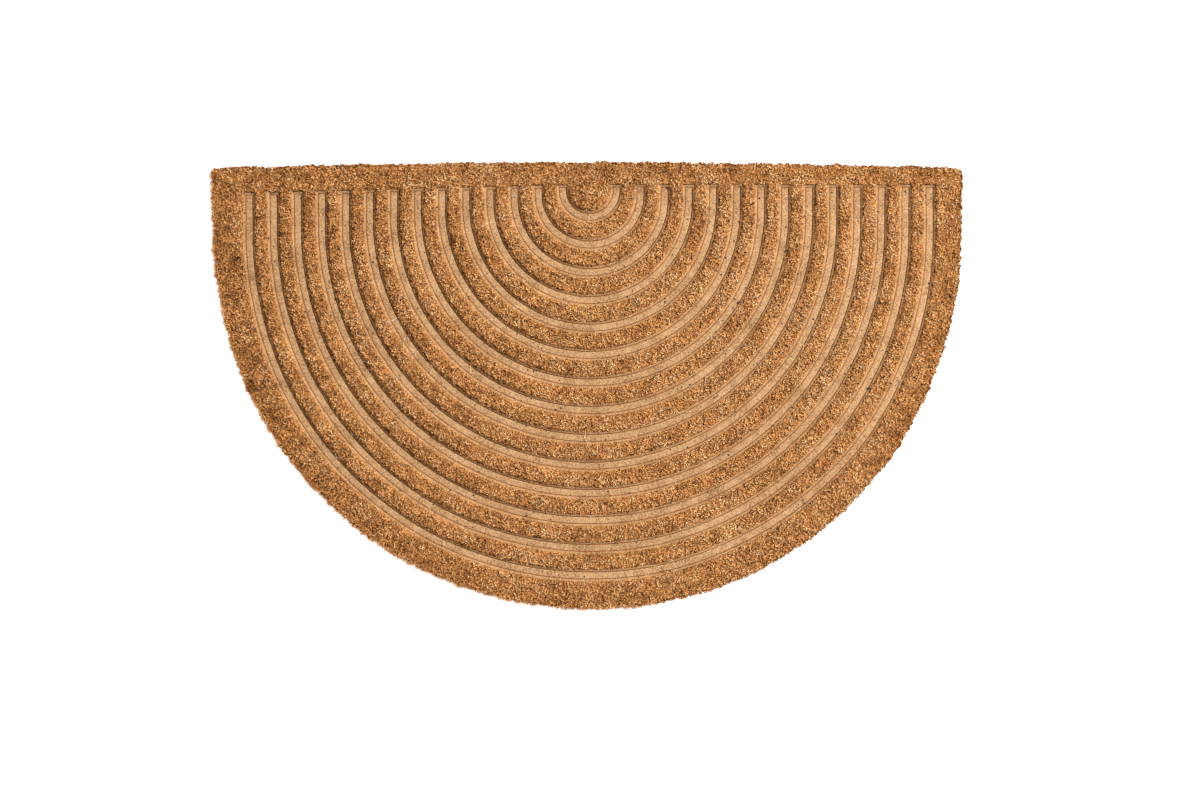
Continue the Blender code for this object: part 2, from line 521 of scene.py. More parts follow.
def legHeights(index, side, x):
    # Down one leg from the straight edge to the start of the arc, closer together at the channel's end
    top = straightEdge(x)
    top = float(top + tuftedEdge(x, top)) - body["inset"]
    end = legEnd(index, side)
    centreY = archAt(index)[1]
    usualTop = matEdge["roundCentre"][1] + body["legTop"]
    ends = [end + step for step in endSteps if end + step > centreY + body["aboveArc"]]
    above = max(2, round((usualTop - ends[0]) / body["step"]))
    below = max(1, round((ends[-1] - centreY) / body["step"]))
    heights = list(np.linspace(top, ends[0], above + 1)[:-1]) + ends
    heights += list(np.linspace(ends[-1], centreY, below + 1)[1:-1])
    return np.array(heights)


def railPoints(index, radius):
    # One line of points along an arch, from its left leg's top round to its right leg's top, and how far
    # along the arch each of them is
    centreX, centreY, archRadius = archAt(index)
    left = legHeights(index, -1, centreX - radius)
    right = legHeights(index, 1, centreX + radius)[::-1]
    turns = np.linspace(0, math.pi, round(math.pi * archRadius / body["step"]) + 1)
    x = np.concatenate([
        np.full(len(left), centreX - radius),
        centreX - radius * np.cos(turns),
        np.full(len(right), centreX + radius),
    ])
    y = np.concatenate([left, centreY - radius * np.sin(turns), right])
    pace = np.concatenate([
        (centreY - left) / body["legPace"],
        turns,
        math.pi + (right - centreY) / body["legPace"],
    ])
    return np.stack([x, y], axis=1), pace


def outerRail(inner, share):
    # A line between the outermost band and the cut edge
    centre = np.array(matEdge["roundCentre"])
    fromCentre = inner - centre
    tops = np.where(fromCentre[:, 0] < 0, fromCentre[0, 1], fromCentre[-1, 1])
    legs = fromCentre[:, 1] > 0
    rise = np.where(legs, fromCentre[:, 1] / tops * matEdge["cornerHeight"], 0)
    legAngle = np.arctan2(rise, np.sign(fromCentre[:, 0]) * matEdge["roundRadius"])
    angle = np.where(legs, legAngle, np.arctan2(fromCentre[:, 1], fromCentre[:, 0]))
    outward = np.stack([np.cos(angle), np.sin(angle)], axis=1)
    outer = centre + outward * edgeReach(angle)[:, None]
    outer += outward * (tuftedEdge(*outer.T) - body["inset"])[:, None]
    return inner + (outer - inner) * share


def joinRows(first, second, firstPace, secondPace):
    # Triangles between two lines of points that need not have the same number of points
    faces = []
    i = j = 0
    while i < len(first) - 1 or j < len(second) - 1:
        stepSecond = i == len(first) - 1 or (
            j < len(second) - 1 and secondPace[j + 1] <= firstPace[i + 1]
        )
        if stepSecond:
            faces.append((first[i], second[j], second[j + 1]))
            j += 1
        else:
            faces.append((first[i], second[j], first[i + 1]))
            i += 1
    return faces


def layRails():
    # Every line of points from the innermost to the outermost, each with its band
    rails = []
    for radius in reversed(body["innerRows"]):
        rails.append((0, *railPoints(0, radius)))
    for index in range(archPattern["count"]):
        for offset in railOffsets:
            rails.append((index, *railPoints(index, archAt(index)[2] + offset)))
    last = archPattern["count"] - 1
    inner, pace = rails[-1][1:]
    for row in range(1, body["outerRows"] + 1):
        rails.append((last, outerRail(inner, row / body["outerRows"]), pace))
    return rails


def joinRails(rails):
    # The points of each line by number, and the faces between the lines
    starts = np.cumsum([0] + [len(points) for _, points, _ in rails])
    rows = [np.arange(starts[k], starts[k + 1]) for k in range(len(rails))]
    faces = []
    for k in range(len(rails) - 1):
        inner, outer = rows[k], rows[k + 1]
        if rails[k][0] == rails[k + 1][0]:
            faces += list(zip(inner[:-1], outer[:-1], outer[1:], inner[1:]))
        else:
            faces += joinRows(inner, outer, rails[k][2], rails[k + 1][2])
    return rows, faces


def bodyHeight(x, y, reach):
    # The body's top follows the pressed pile, but is only a low lumpy bed where pile stands on it
    height = pileHeight(reach)
    height = np.where(height > lipTop, lipTop + (height - lipTop) * bodyTop["bedShare"], height)
    inPile = eased(reach, lipHalf, lipHalf + bodyTop["border"])
    uneven = lumps(x, y, bodyTop["lumpSize"], noiseSeeds["bed"])
    uneven = uneven + bodyTop["wideLumps"] * lumps(x, y, bodyTop["wideLumpSize"], noiseSeeds["wideBed"])
    height = height + inPile * bodyTop["lumps"] * uneven
    uneven = lumps(x, y, bodyTop["floorLumpSize"], noiseSeeds["floor"])
    height = height + (1 - inPile) * bodyTop["floorLumps"] * uneven
    return height - bodyTop["edgeDrop"] * (1 - eased(insideEdge(x, y), *bodyTop["edgeDropBand"]))


def paintedShadeAt(x, y, reach):
    # Painted shade: a floor is darker where it ends, under the closed end's wall, and a lip under the nap is
    # darker, in the shade of the pile wall beside it
    past = nearestArch(x, y)[1]
    shadedEnd = bodyTop["endShade"] * eased(past, *bodyTop["endShadeBand"])
    shadedEnd = shadedEnd * (reach < bodyTop["endShadeHalf"])
    shadedLip = np.interp(reach, bodyTop["shadedLipBand"], (0, 1, 1, 0))
    shadedLip = bodyTop["shadedLip"] * shadedLip * np.maximum(underNap(x, y, reach), 0) ** 2
    return np.maximum(shadedEnd, shadedLip)


def makeBody():
    rails = layRails()
    rows, faces = joinRails(rails)
    flat = np.concatenate([points for _, points, _ in rails])
    x, y = flat[:, 0], flat[:, 1]
    reach = channelReach(x, y)
    height = bodyHeight(x, y, reach)
    # painted shade at the floors' ends and on the lips under the nap
    paintedShade = paintedShadeAt(x, y, reach)
    x, y = wander(x, y)
    spots = np.stack([x, y, height], axis=1)

    # the wall goes down from the rim, round the outermost line and back along the straight edge
    loop = list(rows[-1]) + [row[-1] for row in reversed(rows[:-1])] + [row[0] for row in rows[:-1]]
    topCount = len(spots)
    walls = [spots[loop] * (1, 1, 0) + (0, 0, level) for level in body["wallHeights"]]
    spots = np.concatenate([spots] + walls)
    rings = [np.array(loop)] + [topCount + len(loop) * k + np.arange(len(loop)) for k in range(len(walls))]
    for upper, lower in zip(rings, rings[1:]):
        faces += list(zip(lower, np.roll(lower, -1), np.roll(upper, -1), upper))
    underside = len(faces)
    faces.append(tuple(reversed(rings[-1])))

    mesh = bpy.data.meshes.new("pressed_body")
    mesh.from_pydata(spots.tolist(), [], [tuple(int(i) for i in face) for face in faces])
    pad = np.zeros(len(spots) - topCount)
    addFloats(mesh, "across", np.concatenate([reach / millimetre, pad + bandsEnd]))
    addFloats(mesh, "paintedShade", np.concatenate([paintedShade, pad]))
    slots = np.zeros(len(faces), int)
    slots[underside] = 1
    mesh.polygons.foreach_set("material_index", slots)
    piece = addPiece("pressed_body", mesh, [bedMaterial, underMaterial])

    # the innermost line is the two legs of an arch of no width, which meet
    shape = bmesh.new()
    shape.from_mesh(mesh)
    bmesh.ops.remove_doubles(shape, verts=shape.verts, dist=samePlace)
    shape.to_mesh(mesh)
    shape.free()
    layBodyMap(mesh)
    mesh.shade_smooth()
    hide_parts("coir_mat")
    print("pressed body:", len(mesh.polygons), "faces")
    return piece


# Where the body's parts lie in its map: left, bottom and how large
bodyMap = {
    "top": (0.01, 0.40, 0.98),
    "under": (0.01, 0.09, 0.50),
    "wall": (0.01, 0.01, 0.97),
    "wallHeight": 4.5,          # of the map for each metre of wall
    "turnCentre": 0.1,          # y of the point that the walls are unrolled about
    "facesUp": 0.05,            # upward part of a normal, from which a face belongs to the top
    "facesDown": -0.5,
}


def turnOf(spots):
    # How far round the mat each spot lies, from 0 to 1
    return np.arctan2(spots[:, 1] - bodyMap["turnCentre"], spots[:, 0]) / (2 * math.pi) + 0.5


def faceVectors(mesh, name, faceOf):
    # One vector of each face, such as its normal, for every corner that belongs to the face
    vectors = np.zeros(len(mesh.polygons) * 3)
    mesh.polygons.foreach_get(name, vectors)
    return vectors.reshape(-1, 3)[faceOf]


def layBodyMap(mesh):
    # The top over most of the square, the underside small below it, and the walls along the bottom
    corners = np.zeros(len(mesh.loops), np.int32)
    mesh.loops.foreach_get("vertex_index", corners)
    spots = np.zeros(len(mesh.vertices) * 3)
    mesh.vertices.foreach_get("co", spots)
    spots = spots.reshape(-1, 3)[corners]
    faceOf = np.repeat(np.arange(len(mesh.polygons)), [len(f.loop_indices) for f in mesh.polygons])
    width = cadBox[1][0] - cadBox[0][0]
    fromLeft = (spots[:, 0] - cadBox[0][0]) / width
    fromFront = (spots[:, 1] - cadBox[0][1]) / width
    top, under = [
        np.stack([left + size * fromLeft, bottom + size * fromFront], axis=1)
        for left, bottom, size in (bodyMap["top"], bodyMap["under"])
    ]
    turn, faceTurn = turnOf(spots), turnOf(faceVectors(mesh, "center", faceOf))
    # a face across the seam keeps all its corners on its own side
    turn = np.where(turn - faceTurn > 0.5, turn - 1, np.where(turn - faceTurn < -0.5, turn + 1, turn))
    left, bottom, size = bodyMap["wall"]
    wall = np.stack([left + size * turn, bottom + bodyMap["wallHeight"] * spots[:, 2]], axis=1)
    upward = faceVectors(mesh, "normal", faceOf)[:, 2]
    onTop = upward > bodyMap["facesUp"]
    beneath = upward < bodyMap["facesDown"]
    places = np.where(onTop[:, None], top, np.where(beneath[:, None], under, wall))
    layer = mesh.uv_layers.new(name="OFBake")
    layer.data.foreach_set("uv", places.astype(np.float32).ravel())


cellMargin = 0.15               # round a wedge in its cell of the map


def fibreMesh(name, points, widths, facing, tone, along):
    # Each fibre is a chain of slim blunt wedges: a pair of corners at each point, a quarter turn from the
    # last pair. points: fibre, place along it, x y z. widths, along: fibre, place. facing: a direction each.
    places = points.shape[1]
    steps = np.diff(points, axis=1)
    tangent = np.concatenate([steps[:, :1], steps], axis=1)
    tangent /= np.linalg.norm(tangent, axis=2, keepdims=True)
    sideways = np.cross(tangent, facing[:, None])
    sideways /= np.maximum(np.linalg.norm(sideways, axis=2, keepdims=True), leastLength)
    other = np.cross(tangent, sideways)
    quarter = np.arange(places)[None, :, None] * math.pi / 2
    half = (np.cos(quarter) * sideways + np.sin(quarter) * other) * widths[..., None] / 2
    near, far = points - half, points + half
    corners = np.stack([near[:, :-1], far[:, :-1], near[:, 1:], far[:, 1:]], axis=2).reshape(-1, 3)
    wedges = len(corners) // 4
    sides = np.array([(0, 1, 2), (1, 0, 3), (3, 2, 1), (2, 3, 0)])
    faces = (np.arange(wedges)[:, None, None] * 4 + sides).reshape(-1, 3)
    mesh = bpy.data.meshes.new(name)
    mesh.from_pydata(corners, [], faces)
    pairs = np.stack([along[:, :-1], along[:, :-1], along[:, 1:], along[:, 1:]], axis=2)
    addFloats(mesh, "along", pairs)
    addFloats(mesh, "tone", np.repeat(tone, (places - 1) * 4))

    # one small cell of the map for each wedge
    across = math.ceil(math.sqrt(wedges))
    cell = np.arange(wedges)
    cellX, cellY = cell % across, cell // across
    low, high = cellMargin, 1 - cellMargin
    u = (cellX[:, None] + np.array([low, high, low, high])) / across
    v = (cellY[:, None] + np.array([low, low, high, high])) / across
    cells = np.stack([u, v], axis=2).reshape(-1, 2)
    layer = mesh.uv_layers.new(name="OFBake")
    layer.data.foreach_set("uv", cells[faces.ravel()].astype(np.float32).ravel())
    return mesh


def scatter(spacing, seed, margin=0.002):
    # Spots over the whole box, evenly but not in rows
    random = np.random.default_rng(seed)
    x = np.arange(cadBox[0][0] - margin, cadBox[1][0] + margin, spacing)
    y = np.arange(cadBox[0][1] - margin, cadBox[1][1] + margin, spacing)
    x, y = [axis.ravel() for axis in np.meshgrid(x, y)]
    x = x + spacing * random.uniform(-0.5, 0.5, len(x))
    y = y + spacing * random.uniform(-0.5, 0.5, len(y))
    return x, y


# The borders between tufts, as shares of a tuft's size
tuftBorders = {"wander": 0.45, "lumps": 1.7}


def tuftAt(x, y, size, seed):
    # Which small tuft a spot belongs to: four random numbers of that tuft, and the way to its middle
    u = x / size + tuftBorders["wander"] * lumps(x, y, tuftBorders["lumps"] * size, seed + 1)
    v = y / size + tuftBorders["wander"] * lumps(x, y, tuftBorders["lumps"] * size, seed + 2)
    column, row = np.floor(u).astype(int), np.floor(v).astype(int)
    table = np.random.default_rng(seed).random((4, tableSize, tableSize))
    tuft = table[:, row % tableSize, column % tableSize]
    return tuft, (column + 0.5 - u) * size, (row + 0.5 - v) * size


# The tufts along the cut edge
edgeTufts = {
    "size": 0.0082,
    "bulge": 1.3,               # this and the next two in millimetres: in a tuft's middle
    "uneven": 0.7,              # from tuft to tuft
    "fine": 0.4,                # within a tuft
    "fineSize": 0.0024,
    "furthest": 1.2,            # from a tuft's middle, in half tufts, where it falls off no more
    "trim": 0.5,                # millimetres, at the corners
    "trimBand": (0.004, 0.012), # from a corner, where the trimming fades
}


def tuftedEdge(x, y):
    # How far the tufts along the cut edge stand out past its smooth line: rounded lobes, no two alike,
    # which are trimmed off at the two corners
    lobe, toMiddleX, toMiddleY = tuftAt(x, y, edgeTufts["size"], noiseSeeds["edgeTufts"])
    fromMiddle = np.hypot(toMiddleX, toMiddleY) / (edgeTufts["size"] / 2)
    bulge = edgeTufts["bulge"] * (1 - np.minimum(fromMiddle, edgeTufts["furthest"]) ** 2)
    bulge = bulge + edgeTufts["uneven"] * (lobe[1] - 0.5)
    bulge = bulge + edgeTufts["fine"] * lumps(x, y, edgeTufts["fineSize"], noiseSeeds["fineEdge"])
    dx, dy = x - matEdge["roundCentre"][0], y - matEdge["roundCentre"][1]
    besideCorner = matEdge["roundRadius"] - matEdge["cornerInset"] - np.abs(dx)
    atCorner = 1 - eased(np.hypot(besideCorner, matEdge["cornerHeight"] - dy), *edgeTufts["trimBand"])
    return (bulge * (1 - atCorner) - edgeTufts["trim"] * atCorner) * millimetre


def insideTufts(x, y):
    # How far inside the cut edge a spot lies, tufts and all
    return insideEdge(x, y) + tuftedEdge(x, y)


# What differs from coat to coat of the pile. Lengths in millimetres, leans in degrees.
coats = (
    {"name": "pile_undercoat", "spacing": 2.20, "segments": 1, "rootWidth": 1.0, "tipWidth": 1.35,
     "length": 3.0, "lean": (5, 25), "sink": 0.9, "tone": 0.26, "toneSpread": 0.12, "seed": 11},
    {"name": "pile_first_coat", "spacing": 1.98, "segments": 1, "rootWidth": 0.5, "tipWidth": 0.85,
     "length": 3.4, "lean": (15, 50), "sink": 0.1, "tone": 0.56, "toneSpread": 0.19, "seed": 12},
    {"name": "pile_second_coat", "spacing": 1.98, "segments": 1, "rootWidth": 0.5, "tipWidth": 0.75,
     "length": 3.2, "lean": (15, 55), "sink": 0.0, "tone": 0.60, "toneSpread": 0.20, "seed": 13},
    {"name": "pile_curled_coat", "spacing": 2.85, "segments": 2, "rootWidth": 0.5, "tipWidth": 0.6,
     "length": 4.2, "lean": (25, 60), "sink": -0.2, "tone": 0.62, "toneSpread": 0.18, "seed": 14},
)

# What the coats have in common. Metres where nothing else is said.
pileForm = {
    "tuftSize": 0.0034,
    "headingDrift": 1.6,        # radians, over lumps of the next size
    "headingSize": 0.011,
    "headingSpread": 0.9,       # radians, from fibre to fibre
    "lengthSpread": (0.75, 1.2),        # as shares of the coat's own, and so the widths
    "widthSpread": (0.75, 1.25),
    "darkLean": 0.4,            # of the usual lean
    "toMiddle": 0.10,           # how much the fibres lean towards the middle of their tuft
    "footStart": 0.0001,        # where the pile starts, past a lip and inside the cut edge
    "furthestTip": -0.0006,     # inside the cut edge
    "pulledBack": 0.25,         # what is left of the lean where a tip would go too far
    "overhangBand": (0.0072, 0.0092),   # where the overhang fades, out from a channel's middle
    "unevenTufts": 0.35,        # this and the next in millimetres, either way
    "unevenFibres": 0.30,
    "shoulder": 0.0005,         # how much lower the tips are at the cut edge
    "shoulderBand": (-0.0002, 0.0020),
    "wallRise": 0.35,           # what is left of a fibre's height on a channel's wall
    "bend": 0.45,               # how soon a curled fibre has stood up, and how little it leans by then
    "facingSpread": 0.12,       # of the way in which a fibre's flat side faces
    "facingLift": 0.02,
    "toneSpread": 0.70,         # as a share of the coat's own, and how far it reaches at most
    "palestSpread": 0.52,
    "tuftTone": 0.18,           # from the darkest tuft to the palest
    "wallShade": 0.05,           # painted shade: how much darker the fibres on a channel's wall are
    "napShade": 0.28,            # and darker still under the nap, on the wall that faces away from the light
    "wallBand": (0.0066, 0.0084),       # where that fades, out from a channel's middle
    "palest": 0.82,
}

# The pile's tips all lie over a little this way, so they hang over one side of a channel
nap = (-0.0005, -0.0003)


def underNap(x, y, reach):
    # 1 on the side of a channel that the nap hangs over, -1 on the other side
    moved = channelReach(x + nap[0], y + nap[1])
    return np.clip((reach - moved) / math.hypot(*nap), -1, 1)


# How the pile's shade drifts over the mat: towards +X, in patches, and darker along the cut edge
pileTone = {
    "towardsX": 0.05,           # how much paler it is at the next distance to the right
    "towardsXAt": 0.3,
    "towardsXEnds": (-1.1, 1),  # where that stops on the left and the right, as shares of the distance
    "patches": ((0.080, 0.05), (0.024, 0.09), (0.008, 0.19), (0.004, 0.13)),    # size and strength
    # how far inside the cut edge, in millimetres, and how much paler or darker the pile is there
    "rim": ((0, 0.04), (2, -0.01), (4, -0.04), (6.5, -0.10), (9, -0.10), (13, -0.03), (17, 0)),
    "rightRim": 0.12,           # at either side a wider band is darker still, but not the outermost tips
    "rightRimFrom": (0.30, 0.35),       # x where it starts and where it is full
    "leftRim": 0.12,
    "leftRimFrom": (0, 0.20),           # the same to the left
    "leftRimTop": (0.16, 0.20),         # y where it ends, short of the straight edge
    "sideRimStart": (0.002, 0.007),     # inside the cut edge
    "sideRimEnd": (0.010, 0.032),
    "darkShare": 0.21,          # of the fibres are nearly black, and stand upright: some dark fibres, and painted shade for the deep gaps between fibres
}


def toneAt(x, y):
    tone = pileTone["towardsX"] * np.clip(x / pileTone["towardsXAt"], *pileTone["towardsXEnds"])
    for number, (size, strength) in enumerate(pileTone["patches"]):
        tone = tone + strength * lumps(x, y, size, noiseSeeds["tone"] + number)
    inside = insideEdge(x, y)
    depths, strengths = np.transpose(pileTone["rim"])
    tone = tone + np.interp(inside, depths * millimetre, strengths)
    onRight = pileTone["rightRim"] * eased(x, *pileTone["rightRimFrom"])
    onLeft = pileTone["leftRim"] * eased(-x, *pileTone["leftRimFrom"])
    onLeft = onLeft * (1 - eased(y, *pileTone["leftRimTop"]))
    started = eased(inside, *pileTone["sideRimStart"])
    return tone - (onRight + onLeft) * started * (1 - eased(inside, *pileTone["sideRimEnd"]))


def makeCoat(coat):
    random = np.random.default_rng(coat["seed"])
    x, y = scatter(coat["spacing"] * millimetre, coat["seed"])
    reach = channelReach(x, y)
    grows = (reach > lipHalf + pileForm["footStart"]) & (insideTufts(x, y) > pileForm["footStart"])
    x, y, reach = x[grows], y[grows], reach[grows]
    surface = pileHeight(reach)
    count = len(x)
    tuftSize = pileForm["tuftSize"]
    tuft, toMiddleX, toMiddleY = tuftAt(x, y, tuftSize, noiseSeeds["pileTufts"])

    # the fibres of a tuft lean much the same way, and towards its middle
    drift = pileForm["headingDrift"] * lumps(x, y, pileForm["headingSize"], noiseSeeds["heading"])
    heading = 2 * math.pi * tuft[0] + drift + random.normal(0, pileForm["headingSpread"], count)
    lowLean, highLean = (math.radians(angle) for angle in coat["lean"])
    lean = random.uniform(lowLean, highLean, count)
    # the nearly black fibres are partly dark fibres, partly painted shade for the gaps in the pile
    dark = random.random(count) < pileTone["darkShare"]
    lean = np.where(dark, pileForm["darkLean"] * lean, lean)
    length = coat["length"] * millimetre * random.uniform(*pileForm["lengthSpread"], count)
    leanX = np.sin(lean) * np.cos(heading) + pileForm["toMiddle"] * toMiddleX / tuftSize
    leanY = np.sin(lean) * np.sin(heading) + pileForm["toMiddle"] * toMiddleY / tuftSize
    tipX = x + length * leanX
    tipY = y + length * leanY

    # a tip never hangs far over a channel's smooth lip or past the cut edge
    tipReach = channelReach(tipX, tipY)
    tipSurface = pileHeight(tipReach)
    tooFar = (tipReach < lipHalf) | (insideTufts(tipX, tipY) < pileForm["furthestTip"])
    tipX = np.where(tooFar, x + pileForm["pulledBack"] * (tipX - x), tipX)
    tipY = np.where(tooFar, y + pileForm["pulledBack"] * (tipY - y), tipY)
    tipSurface = np.where(tooFar, surface, tipSurface)
    hanging = underNap(x, y, reach)
    overhang = np.maximum(hanging, 0) * (1 - eased(reach, *pileForm["overhangBand"])) * (0.5 + tuft[3])
    tipX, tipY = tipX + nap[0] * overhang, tipY + nap[1] * overhang

    uneven = pileForm["unevenTufts"] * millimetre * (tuft[1] * 2 - 1)
    uneven = uneven + pileForm["unevenFibres"] * millimetre * random.uniform(-1, 1, count)
    shoulder = pileForm["shoulder"] * (1 - eased(insideTufts(tipX, tipY), *pileForm["shoulderBand"]))
    fullPile = eased(tipSurface, lipTop, pileTop)
    tipZ = tipSurface - shoulder + fullPile * (uneven - coat["sink"] * millimetre)
    wallRise = pileForm["wallRise"]
    rise = length * np.cos(lean) * (wallRise + (1 - wallRise) * fullPile)
    root = np.stack([x, y, tipZ - rise], axis=1)
    tip = np.stack([tipX, tipY, tipZ], axis=1)

    # more than one segment: the fibre stands up first and then bends over
    points = [root]
    bend = pileForm["bend"]
    for step in range(1, coat["segments"]):
        share = step / coat["segments"]
        points.append(root + (tip - root) * np.array([bend * share, bend * share, share**bend]))
    points = np.stack(points + [tip], axis=1)
    points[..., 0], points[..., 1] = wander(points[..., 0], points[..., 1])
    alongShare = np.linspace(0, 1, coat["segments"] + 1)
    widths = coat["rootWidth"] + (coat["tipWidth"] - coat["rootWidth"]) * alongShare
    widths = widths * millimetre * random.uniform(*pileForm["widthSpread"], count)[:, None]
    facing = np.stack([-leanY, leanX, 0 * leanX], axis=1)
    facing = facing + random.normal(0, pileForm["facingSpread"], (count, 3))
    facing[:, 2] = pileForm["facingLift"]
    facing /= np.linalg.norm(facing, axis=1, keepdims=True)
    # more of them are darker than the usual tone than paler
    spread = np.minimum(random.normal(0, pileForm["toneSpread"], count), pileForm["palestSpread"])
    tone = coat["tone"] + coat["toneSpread"] * spread + pileForm["tuftTone"] * (tuft[2] - 0.5)
    # painted shade on the channels' walls, darker on the wall under the nap, which faces away from the light
    wallShade = pileForm["wallShade"] + pileForm["napShade"] * np.maximum(hanging, 0) ** 2
    tone = tone + toneAt(x, y) - wallShade * (1 - eased(reach, *pileForm["wallBand"]))
    tone = np.clip(np.where(dark, 0.0, tone), 0, pileForm["palest"])
    along = np.tile(alongShare, (count, 1))
    mesh = fibreMesh(coat["name"], points, widths, facing, tone, along)
    piece = addPiece(coat["name"], mesh, [fibreMaterial])
    print(coat["name"] + ":", count, "fibres,", len(mesh.polygons), "triangles")
    return piece


# The cut edge, where the fibres show at full height
fringe = {
    "spacing": 0.00019,         # along the edge
    "depth": 0.0020,            # of the rows behind each other
    "depthPower": 0.8,          # below 1 puts more of them behind, above 1 in front
    "width": 0.00085,
    "widthSpread": (0.7, 1.3),
    "tapers": (0.8, 1.0, 0.9),  # widths at the foot, the middle and the tip
    "proud": 0.0004,            # how far the tips stand out
    "tuftSize": 0.0027,
    "swell": 0.9,               # how much of the edge's tufts it follows
    "tuftSwell": 0.0005,        # of its own smaller tufts
    "footBack": 0.0006,         # how far the feet stand back
    "footNotch": 0.7,           # how much of a gap between tufts goes down to the feet
    "middleSpread": 0.0001,
    "drift": 0.0006,            # sideways, of the tips
    "footZ": (0.0002, 0.0006),  # the least, and how much more it may be
    "middleZ": (0.0075, 0.0015),        # usual height and its spread
    "tipZ": 0.0156,
    "frontDrop": 0.0006,        # how much lower the foremost tips are
    "frontDepth": 0.0004,       # of those that count as foremost
    "randomDrop": 0.0012,
    "tuftRise": 0.0005,
    "tone": 0.58,
    "toneSpread": 0.17,
    "tuftTone": 0.12,           # from the darkest tuft to the palest
    "along": (0.5, 0.9, 1.0),   # where in depthShades the foot, the middle and the tip lie
    "seed": 21,
}
edgePoints = 20001              # round the cut edge
edgeStep = 0.002                # ahead along the edge, to find its direction


def edgeSpots(spacing, seed):
    # Spots along the cut edge, with the direction that points out of the mat
    angles = np.linspace(-math.pi, math.pi, edgePoints)
    line = np.stack([np.cos(angles), np.sin(angles)], axis=1) * edgeReach(angles)[:, None]
    pace = np.concatenate([[0], np.cumsum(np.linalg.norm(np.diff(line, axis=0), axis=1))])
    random = np.random.default_rng(seed)
    places = np.arange(0, pace[-1], spacing)
    places = places + spacing * random.uniform(-0.5, 0.5, len(places))
    spots, ahead = [
        np.stack([np.interp(where, pace, line[:, k], period=pace[-1]) for k in (0, 1)], axis=1)
        for where in (places, places + edgeStep)
    ]
    forward = ahead - spots
    forward /= np.linalg.norm(forward, axis=1, keepdims=True)
    outward = np.stack([forward[:, 1], -forward[:, 0]], axis=1)
    return spots + matEdge["roundCentre"], outward, places


def makeFringe():
    random = np.random.default_rng(fringe["seed"])
    spots, outward, places = edgeSpots(fringe["spacing"], fringe["seed"])
    count = len(spots)
    tuft = tuftAt(places, 0 * places, fringe["tuftSize"], noiseSeeds["fringeTufts"])[0]
    behind = fringe["depth"] * random.random(count) ** fringe["depthPower"]
    swell = fringe["swell"] * tuftedEdge(*spots.T) + fringe["tuftSwell"] * (tuft[0] * 2 - 1)
    notch = np.minimum(swell, 0)
    footOut = -behind - fringe["footBack"] + fringe["footNotch"] * notch
    middleOut = -behind + 0.5 * (swell + notch) + fringe["middleSpread"] * random.normal(size=count)
    tipOut = -behind + fringe["proud"] * random.random(count) + swell
    drift = random.normal(0, fringe["drift"], (count, 2))
    foot = spots + outward * footOut[:, None]
    middle = spots + outward * middleOut[:, None] + 0.5 * drift
    tip = spots + outward * tipOut[:, None] + drift
    inFront = behind < fringe["frontDepth"]
    tipZ = fringe["tipZ"] - fringe["frontDrop"] * inFront
    tipZ = tipZ - fringe["randomDrop"] * random.random(count) ** 2 + fringe["tuftRise"] * tuft[1]
    footZ = fringe["footZ"][0] + fringe["footZ"][1] * random.random(count)
    middleZ = fringe["middleZ"][0] + fringe["middleZ"][1] * random.normal(size=count)
    points = np.stack([
        np.column_stack([foot, footZ]),
        np.column_stack([middle, middleZ]),
        np.column_stack([tip, tipZ]),
    ], axis=1)
    widths = fringe["width"] * random.uniform(*fringe["widthSpread"], count)[:, None]
    widths = widths * np.array(fringe["tapers"])
    facing = np.column_stack([outward, np.zeros(count)])
    tone = fringe["tone"] + fringe["toneSpread"] * random.normal(size=count)
    tone = tone + fringe["tuftTone"] * (tuft[2] - 0.5) + toneAt(*spots.T)
    along = np.tile(fringe["along"], (count, 1))
    mesh = fibreMesh("cut_edge_fringe", points, widths, facing, np.clip(tone, 0, 1), along)
    piece = addPiece("cut_edge_fringe", mesh, [fibreMaterial])
    print("cut edge fringe:", count, "fibres,", len(mesh.polygons), "triangles")
    return piece


# Light, floor and camera. Angles in degrees.
studio = {
    "lamps": (
        {"name": "soft_key", "azimuth": 27, "height": 58, "distance": 7.5, "size": 3.0, "power": 1175.0},
        {"name": "near_fill", "azimuth": 20, "height": 52, "distance": 1.3, "size": 0.8, "power": 5.0},
    ),
    "sky": 0.13,
    "floorWidth": 12,
    "floorShade": 0.95,
    "floorGlow": 0.9,           # keeps the mat's shadow faint
    "lens": 85.0,               # this and the sensor in millimetres
    "sensor": 36,
    "cameraAbove": 2.83,        # over the pile
    "cameraOver": (0.01354, -0.01455),  # x and y of the camera
}


def aimAt(thing, target):
    thing.rotation_euler = (Vector(target) - thing.location).to_track_quat("-Z", "Y").to_euler()


def addLamp(lamp):
    light = bpy.data.lights.new(lamp["name"], "AREA")
    light.shape = "DISK"
    light.size = lamp["size"]
    light.energy = lamp["power"]
    azimuth, height = math.radians(lamp["azimuth"]), math.radians(lamp["height"])
    piece = bpy.data.objects.new(lamp["name"], light)
    bpy.context.scene.collection.objects.link(piece)
    piece.location = lamp["distance"] * Vector((
        math.cos(height) * math.cos(azimuth),
        math.cos(height) * math.sin(azimuth),
        math.sin(height),
    ))
    aimAt(piece, (0, 0, 0))


